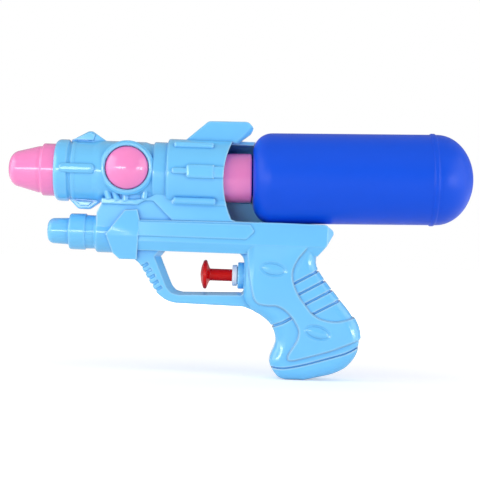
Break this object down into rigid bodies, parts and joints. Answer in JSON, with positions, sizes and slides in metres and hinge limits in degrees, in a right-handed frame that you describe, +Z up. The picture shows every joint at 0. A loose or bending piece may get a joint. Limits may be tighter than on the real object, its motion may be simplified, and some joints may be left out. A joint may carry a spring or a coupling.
{
  "type": "water squirter",
  "caption": "Bottle-fed toy water squirter: split pistol body with a push-button trigger pump, ball valves, hoses, a muzzle jet and a screw-on water bottle.",
  "frame": {"origin": "Centre of the bounding box in X and Y, at the lowest point of the grip's base in Z.", "axes": "+X runs from the muzzle to the bottle, +Z is up with the grip below, and the half shells meet at Y = 0. The pictured side faces -Y."},
  "size_m": [0.2687, 0.0536, 0.1477],
  "materials": {
    "shell_blue": "glossy injection-moulded light-blue plastic",
    "pink": "glossy injection-moulded pink plastic",
    "bottle_blue": "satin blow-moulded deep-blue plastic",
    "red": "glossy moulded red plastic",
    "white": "smooth moulded white plastic",
    "hose": "milky soft vinyl",
    "rubber": "black rubber",
    "steel": "plain zinc-plated steel"
  },
  "bodies": {
    "body": {"left_shell": "shell_blue", "right_shell": "shell_blue", "nozzle_tip": "pink", "nozzle_jet": "white", "left_dome": "pink", "right_dome": "pink", "bottle_collar": "pink", "dip_tube": "hose", "feed_hose": "hose", "outlet_hose": "hose", "guide_bush": "white", "pump_barrel": "white", "return_spring": "steel", "outlet_valve": "white", "intake_valve": "white", "screw_barrel": "steel", "screw_band": "steel", "screw_block": "steel", "screw_guard": "steel", "screw_rail": "steel", "screw_grip_upper": "steel", "screw_grip_lower": "steel"},
    "trigger": {"trigger": "red", "piston": "white", "piston_seal": "rubber"},
    "neck_seal": {"neck_seal": "rubber"},
    "bottle": {"bottle": "bottle_blue"},
    "outlet_ball": {"outlet_ball": "steel"},
    "intake_ball": {"intake_ball": "steel"}
  },
  "joints": [
    {"name": "trigger_press", "type": "slide", "parent": "body", "child": "trigger", "axis": [1, 0, 0], "range_m": [0, 0.01], "stiffness_N_per_m": 120, "springref_m": -0.01, "deforming": ["return_spring"]},
    {"name": "bottle_turn", "type": "hinge", "parent": "body", "child": "neck_seal", "pos_m": [0, 0, 0.115], "axis": [0.9997, 0, 0.0262], "range_deg": [0, 720]},
    {"name": "bottle_lift", "type": "slide", "parent": "neck_seal", "child": "bottle", "axis": [0.9997, 0, 0.0262], "range_m": [0, 0.0081]},
    {"name": "outlet_ball_lift", "type": "slide", "parent": "body", "child": "outlet_ball", "axis": [0, 0, 1], "range_m": [0, 0.0015]},
    {"name": "intake_ball_lift", "type": "slide", "parent": "body", "child": "intake_ball", "axis": [-1, 0, 0], "range_m": [0, 0.0015]}
  ],
  "couplings": [
    {"joint": "bottle_lift", "follows": "bottle_turn", "m_per_rad": 0.00063662}
  ]
}
